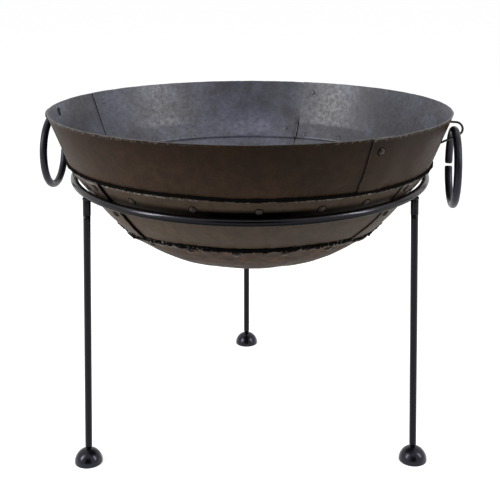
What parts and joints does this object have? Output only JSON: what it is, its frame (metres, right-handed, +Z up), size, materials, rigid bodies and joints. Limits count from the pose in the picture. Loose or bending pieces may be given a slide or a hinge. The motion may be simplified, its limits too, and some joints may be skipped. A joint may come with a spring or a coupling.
{
  "type": "fire bowl",
  "caption": "Riveted sheet iron fire bowl with hanging ring handles, resting in a ring stand on pull-out legs with half-ball feet.",
  "frame": {"origin": "on the floor, straight below the middle of the bowl and of the stand ring", "axes": "+Z up along the bowl's axis, -Y the front, +X the viewer's right"},
  "size_m": [0.6665, 0.65, 0.5479],
  "materials": {
    "rolled_sheet": "blued and oiled rolled sheet, satin",
    "hammered_dish": "hammered, brown-grey scale, satin",
    "rivets": "hammered heads, satin",
    "handles": "satin black",
    "stand_paint": "satin black",
    "foot_paint": "glossy black",
    "weld_metal": "rough under black paint"
  },
  "bodies": {
    "stand": {"stand_ring": "stand_paint", "left_leg_socket": "stand_paint", "right_leg_socket": "stand_paint", "back_leg_socket": "stand_paint", "left_socket_weld": "weld_metal", "right_socket_weld": "weld_metal", "back_socket_weld": "weld_metal"},
    "bowl": {"front_rim_plate": "rolled_sheet", "right_rim_plate": "rolled_sheet", "back_rim_plate": "rolled_sheet", "front_side_plate": "rolled_sheet", "right_side_plate": "rolled_sheet", "left_side_plate": "rolled_sheet", "base_dish": "hammered_dish", "upper_seam_rivets": "rivets", "lower_seam_rivets": "rivets", "rim_lap_rivets": "rivets", "side_lap_rivets": "rivets", "left_handle_eye": "handles", "right_handle_eye": "handles"},
    "left_handle": {"left_ring_handle": "handles"},
    "right_handle": {"right_ring_handle": "handles"},
    "left_leg_with_foot": {"left_leg": "stand_paint", "left_foot": "foot_paint"},
    "right_leg_with_foot": {"right_leg": "stand_paint", "right_foot": "foot_paint"},
    "back_leg_with_foot": {"back_leg": "stand_paint", "back_foot": "foot_paint"}
  },
  "joints": [
    {"name": "bowl_lift", "type": "slide", "parent": "stand", "child": "bowl", "axis": [0, 0, 1], "range_m": [0, 0.25]},
    {"name": "left_handle_swing", "type": "hinge", "parent": "bowl", "child": "left_handle", "pos_m": [-0.3284, 0.02296, 0.52665], "axis": [-0.0872, -0.9962, 0], "range_deg": [-150, 18]},
    {"name": "right_handle_swing", "type": "hinge", "parent": "bowl", "child": "right_handle", "pos_m": [0.31127, -0.10718, 0.52665], "axis": [0.1045, 0.9945, 0], "range_deg": [-150, 12]},
    {"name": "left_leg_pull", "type": "slide", "parent": "stand", "child": "left_leg_with_foot", "axis": [-0.0263, -0.0155, -0.9995], "range_m": [0, 0.03]},
    {"name": "right_leg_pull", "type": "slide", "parent": "stand", "child": "right_leg_with_foot", "axis": [0.0267, -0.0149, -0.9995], "range_m": [0, 0.03]},
    {"name": "back_leg_pull", "type": "slide", "parent": "stand", "child": "back_leg_with_foot", "axis": [-0.0007, 0.0305, -0.9995], "range_m": [0, 0.03]}
  ]
}
